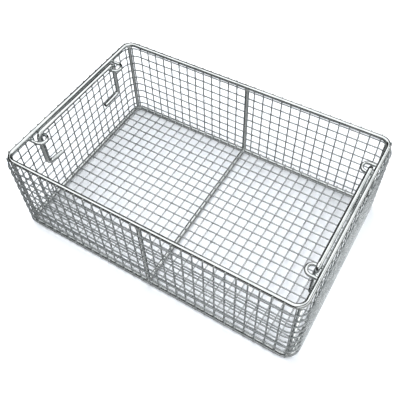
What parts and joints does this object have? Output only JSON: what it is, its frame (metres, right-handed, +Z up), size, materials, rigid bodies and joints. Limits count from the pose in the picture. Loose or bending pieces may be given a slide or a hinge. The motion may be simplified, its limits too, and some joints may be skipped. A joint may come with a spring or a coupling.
{
  "type": "autoclave basket",
  "caption": "Open rectangular wire mesh basket with a round rod rim, base ring and posts, and lifting bails that slide up through eyes at its short ends.",
  "frame": {"origin": "middle of the base, on the surface it stands on", "axes": "+X along the long side, +Y towards the back long side, +Z up"},
  "size_m": [0.4132, 0.2732, 0.1341],
  "materials": {
    "frame_rod": "polished round stainless rod",
    "mesh_wire": "drawn stainless wire, electropolished"
  },
  "bodies": {
    "basket": {"back_wall_uprights": "mesh_wire", "bottom_ring": "frame_rod", "corner_post_back_left": "frame_rod", "corner_post_back_right": "frame_rod", "corner_post_front_left": "frame_rod", "corner_post_front_right": "frame_rod", "floor_bar": "frame_rod", "floor_cross_wires": "mesh_wire", "floor_long_wires": "mesh_wire", "front_wall_uprights": "mesh_wire", "handle_eye_left_back": "frame_rod", "handle_eye_left_front": "frame_rod", "handle_eye_right_back": "frame_rod", "handle_eye_right_front": "frame_rod", "left_wall_uprights": "mesh_wire", "middle_post_back": "frame_rod", "middle_post_front": "frame_rod", "right_wall_uprights": "mesh_wire", "rim_ring": "frame_rod", "wall_hoop_1": "mesh_wire", "wall_hoop_2": "mesh_wire", "wall_hoop_3": "mesh_wire", "wall_hoop_4": "mesh_wire", "wall_hoop_5": "mesh_wire", "wall_hoop_6": "mesh_wire", "wall_hoop_7": "mesh_wire", "wall_hoop_8": "mesh_wire", "wall_hoop_9": "mesh_wire"},
    "left_bail": {"handle_left": "frame_rod"},
    "right_bail": {"handle_right": "frame_rod"}
  },
  "joints": [
    {"name": "left_bail_lift", "type": "slide", "parent": "basket", "child": "left_bail", "axis": [0, 0, 1], "range_m": [0, 0.0438]},
    {"name": "right_bail_lift", "type": "slide", "parent": "basket", "child": "right_bail", "axis": [0, 0, 1], "range_m": [0, 0.0438]}
  ]
}
